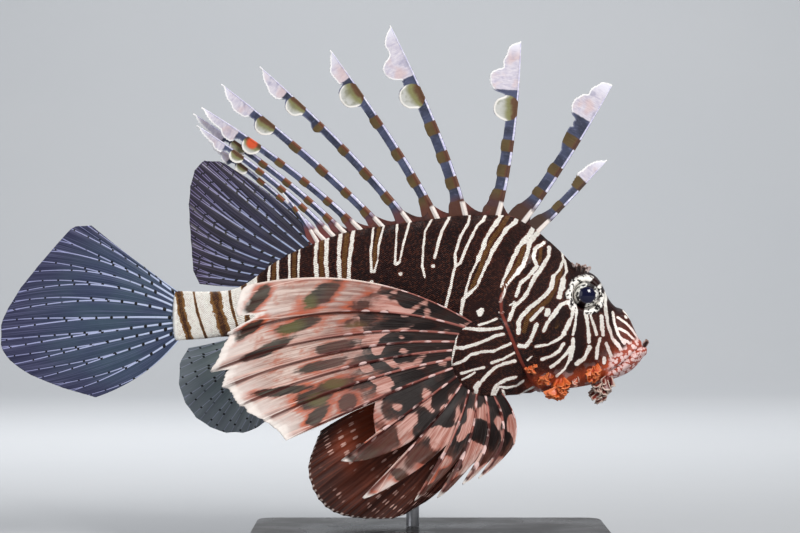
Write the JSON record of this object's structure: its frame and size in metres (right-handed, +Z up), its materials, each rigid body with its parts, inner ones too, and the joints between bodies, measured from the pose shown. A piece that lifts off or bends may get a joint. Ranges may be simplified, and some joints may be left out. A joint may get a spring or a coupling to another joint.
{
  "type": "red lionfish display model",
  "caption": "Life-size lionfish with fanned dorsal spines and spread pectoral fins, swimming level on a rod above a flat display base.",
  "frame": {"origin": "centre of the underside of the stand's base, on the surface the model stands on", "axes": "+X from the tail to the snout, +Y to the fish's left side, +Z up"},
  "size_m": [0.3008, 0.1128, 0.2423],
  "materials": {
    "skin": "wet scaled skin, dark maroon bars on white",
    "eye": "polished",
    "dorsal_spines": "banded spines with pale flags",
    "median_fins": "thin slate membrane, pale rays, dark dots",
    "pectoral_fins": "pinkish membrane with dark blotches",
    "pelvic_fins": "dark red membrane with rows of pale spots",
    "skin_flaps": "soft leafy skin flaps",
    "stand_base": "black satin lacquer",
    "stand_rod": "brushed"
  },
  "bodies": {
    "root": {"head": "skin", "trunk": "skin", "tail": "skin", "eye_right": "eye", "eye_left": "eye", "spiny_dorsal_fin": "dorsal_spines", "soft_dorsal_fin": "median_fins", "caudal_fin": "median_fins", "anal_fin": "median_fins", "pectoral_fin_right": "pectoral_fins", "pectoral_fin_left": "pectoral_fins", "pelvic_fin_right": "pelvic_fins", "pelvic_fin_left": "pelvic_fins", "stand_base": "stand_base", "stand_rod": "stand_rod"}
  },
  "joints": []
}
